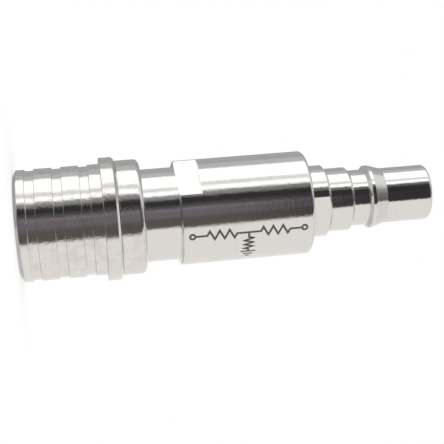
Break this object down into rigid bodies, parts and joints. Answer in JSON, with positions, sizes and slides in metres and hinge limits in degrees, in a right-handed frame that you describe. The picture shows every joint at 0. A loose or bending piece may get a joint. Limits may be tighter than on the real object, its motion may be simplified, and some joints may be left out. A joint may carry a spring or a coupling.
{
  "type": "rf attenuator",
  "caption": "Fixed coaxial attenuator: quick-lock plug with a ribbed sliding sleeve, cylindrical housing with wrench flats and a matching latch jack.",
  "frame": {"origin": "on the axis, in the plane of the coupling sleeve's front rim, on which the part stands", "axes": "+Z along the axis from the plug to the jack, up as it stands; the housing's wrench flats face -Y and +Y"},
  "size_m": [0.0134, 0.0134, 0.0459],
  "materials": {
    "plated_brass": "bright white-bronze plated turned brass",
    "gold": "gold plated contact alloy",
    "raw_brass": "plain turned brass",
    "dielectric": "white fluoropolymer",
    "ceramic": "fired ceramic",
    "film": "resistive film",
    "silver_print": "fired silver print",
    "spring_steel": "drawn spring wire"
  },
  "bodies": {
    "attenuator": {"attenuator_housing": "plated_brass", "plug_body": "plated_brass", "latch_collet": "plated_brass", "plug_outer_contact": "gold", "plug_insulator": "dielectric", "plug_pin": "gold", "ground_shell_front": "raw_brass", "ground_shell_back": "raw_brass", "attenuator_card": "ceramic", "resistor_film": "film", "line_pads": "silver_print", "ground_pads": "silver_print", "jack_body": "plated_brass", "jack_insulator": "dielectric", "jack_socket": "gold"},
    "spring": {"release_spring": "spring_steel"},
    "sleeve": {"coupling_sleeve": "plated_brass", "sleeve_retainer": "plated_brass"}
  },
  "joints": [
    {"name": "sleeve_turn", "type": "hinge", "parent": "attenuator", "child": "spring", "pos_m": [0, 0, 0.0065], "axis": [0, 0, 1], "continuous": true},
    {"name": "sleeve_slide", "type": "slide", "parent": "spring", "child": "sleeve", "axis": [0, 0, 1], "range_m": [0, 0.0017], "stiffness_N_per_m": 500, "springref_m": -0.002, "deforming": ["release_spring"]}
  ]
}
